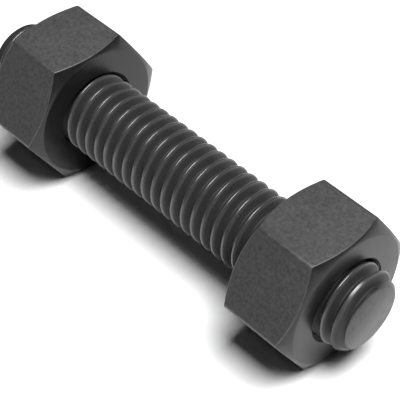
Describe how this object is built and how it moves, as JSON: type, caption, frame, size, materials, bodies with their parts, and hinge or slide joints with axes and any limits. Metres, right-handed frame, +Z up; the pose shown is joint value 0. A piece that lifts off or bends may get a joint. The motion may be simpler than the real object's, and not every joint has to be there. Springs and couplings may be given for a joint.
{
  "type": "fully threaded stud with two heavy hex nuts",
  "caption": "Fully threaded dark steel stud with a heavy hex nut near each end, for clamping two flanges or plates together.",
  "frame": {"origin": "centre of the bounding box's base: under the middle of the stud, on the surface that the nuts' lower flats lie on", "axes": "+X along the stud towards its front end, the one with the shorter protrusion; +Z up; +Y across to the left of +X"},
  "size_m": [0.065, 0.022, 0.0191],
  "materials": {
    "stud_steel": "black oxide, cut threads",
    "nut_steel": "black oxide, fine grain"
  },
  "bodies": {
    "stud": {"threaded_stud": "stud_steel"},
    "front": {"front_nut": "nut_steel"},
    "rear": {"rear_nut": "nut_steel"}
  },
  "joints": [
    {"name": "front_nut_travel", "type": "slide", "parent": "stud", "child": "front", "axis": [1, 0, 0], "range_m": [-0.0164, 0.0146]},
    {"name": "rear_nut_travel", "type": "slide", "parent": "stud", "child": "rear", "axis": [-1, 0, 0], "range_m": [-0.0171, 0.0169]}
  ]
}
